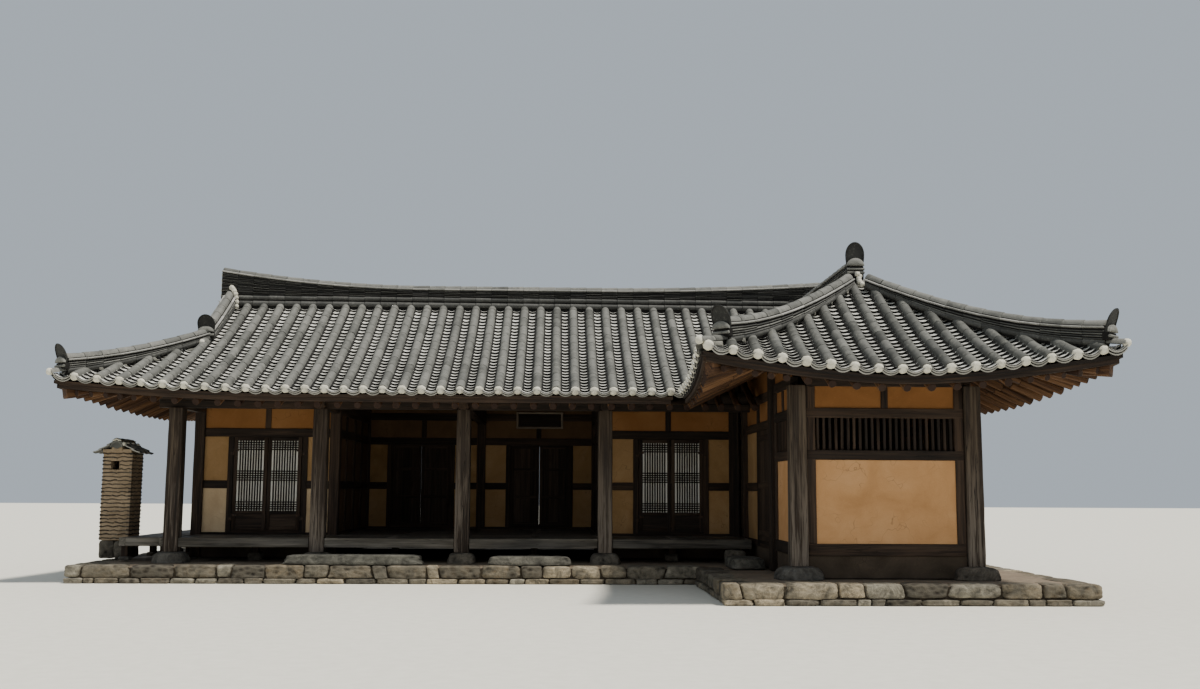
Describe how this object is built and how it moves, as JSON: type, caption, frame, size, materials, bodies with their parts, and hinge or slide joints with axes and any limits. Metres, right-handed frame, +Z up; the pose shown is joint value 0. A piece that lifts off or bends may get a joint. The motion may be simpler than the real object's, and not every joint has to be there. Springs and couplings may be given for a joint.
{
  "type": "hanok house",
  "caption": "L-shaped tiled-roof timber house with clay plaster walls, an open raised hall, lattice doors, a kitchen wing and a chimney on the terrace.",
  "frame": {"origin": "middle of the bounding box at ground level, where the house stands", "axes": "+X to the right along the porch front, +Y from the front to the back, +Z up"},
  "size_m": [15.6, 11.21, 5.72],
  "materials": {
    "aged_timber": "weathered grey brown, cracked",
    "dark_timber": "smoke darkened",
    "floor_planks": "worn smooth",
    "clay_plaster": "matt clay with straw marks",
    "rough_stone": "rough hewn",
    "roof_tile": "unglazed dark grey tile",
    "door_paper": "white paper behind timber lattice",
    "chimney_tile": "tile courses in clay mortar"
  },
  "bodies": {
    "house": {"chimney_cap": "roof_tile", "chimney_stack": "chimney_tile", "hall_back_wall": "clay_plaster", "hall_beam_left": "dark_timber", "hall_beam_middle": "dark_timber", "hall_beam_right": "dark_timber", "hall_floor": "floor_planks", "hall_left_wall": "clay_plaster", "hall_right_wall": "clay_plaster", "kitchen_front_wall": "clay_plaster", "kitchen_left_wall": "clay_plaster", "kitchen_step_stone": "rough_stone", "left_back_ridge": "roof_tile", "left_front_ridge": "roof_tile", "left_gable_frame": "dark_timber", "left_roof_skirt": "roof_tile", "left_room_back_wall": "clay_plaster", "left_room_floor": "clay_plaster", "left_room_front_wall": "clay_plaster", "left_room_side_wall": "clay_plaster", "long_step_stone": "rough_stone", "main_ridge": "roof_tile", "main_roof_back": "roof_tile", "main_roof_front": "roof_tile", "main_terrace": "rough_stone", "name_board": "dark_timber", "porch_post_1": "aged_timber", "porch_post_2": "aged_timber", "porch_post_3": "aged_timber", "porch_post_4": "aged_timber", "porch_purlin": "dark_timber", "ridge_purlin": "dark_timber", "right_back_ridge": "roof_tile", "right_back_wall": "clay_plaster", "right_front_ridge": "roof_tile", "right_gable_wall": "dark_timber", "right_roof": "roof_tile", "right_room_floor": "clay_plaster", "right_room_front_wall": "clay_plaster", "right_side_wall": "clay_plaster", "short_step_stone": "rough_stone", "side_veranda": "floor_planks", "wing_left_ridge": "roof_tile", "wing_post_left": "aged_timber", "wing_post_right": "aged_timber", "wing_ridge": "roof_tile", "wing_right_ridge": "roof_tile", "wing_roof_front": "roof_tile", "wing_roof_left": "roof_tile", "wing_terrace": "rough_stone"},
    "left_room_left_leaf": {"left_room_door_left": "door_paper"},
    "left_room_right_leaf": {"left_room_door_right": "door_paper"},
    "right_room_left_leaf": {"right_room_door_left": "door_paper"},
    "right_room_right_leaf": {"right_room_door_right": "door_paper"},
    "hall_1_left_leaf": {"hall_door_1_left": "dark_timber"},
    "hall_1_right_leaf": {"hall_door_1_right": "dark_timber"},
    "hall_2_left_leaf": {"hall_door_2_left": "dark_timber"},
    "hall_2_right_leaf": {"hall_door_2_right": "dark_timber"},
    "kitchen_leaf": {"kitchen_door": "dark_timber"}
  },
  "joints": [
    {"name": "left_room_door_left_hinge", "type": "hinge", "parent": "house", "child": "left_room_left_leaf", "pos_m": [-5.5465, 0.617, 0.78], "axis": [0, 0, -1], "range_deg": [0, 105]},
    {"name": "left_room_door_right_hinge", "type": "hinge", "parent": "house", "child": "left_room_right_leaf", "pos_m": [-4.3435, 0.617, 0.78], "axis": [0, 0, 1], "range_deg": [0, 105]},
    {"name": "right_room_door_left_hinge", "type": "hinge", "parent": "house", "child": "right_room_left_leaf", "pos_m": [1.7035, 0.617, 0.78], "axis": [0, 0, -1], "range_deg": [0, 105]},
    {"name": "right_room_door_right_hinge", "type": "hinge", "parent": "house", "child": "right_room_right_leaf", "pos_m": [2.8665, 0.617, 0.78], "axis": [0, 0, 1], "range_deg": [0, 105]},
    {"name": "hall_door_1_left_hinge", "type": "hinge", "parent": "house", "child": "hall_1_left_leaf", "pos_m": [-3.2065, 4.273, 0.78], "axis": [0, 0, 1], "range_deg": [0, 105]},
    {"name": "hall_door_1_right_hinge", "type": "hinge", "parent": "house", "child": "hall_1_right_leaf", "pos_m": [-2.0135, 4.273, 0.78], "axis": [0, 0, -1], "range_deg": [0, 105]},
    {"name": "hall_door_2_left_hinge", "type": "hinge", "parent": "house", "child": "hall_2_left_leaf", "pos_m": [-0.7365, 4.273, 0.78], "axis": [0, 0, 1], "range_deg": [0, 105]},
    {"name": "hall_door_2_right_hinge", "type": "hinge", "parent": "house", "child": "hall_2_right_leaf", "pos_m": [0.4565, 4.273, 0.78], "axis": [0, 0, -1], "range_deg": [0, 105]},
    {"name": "kitchen_door_hinge", "type": "hinge", "parent": "house", "child": "kitchen_leaf", "pos_m": [3.562, -2.2315, 0.78], "axis": [0, 0, 1], "range_deg": [0, 100]}
  ]
}
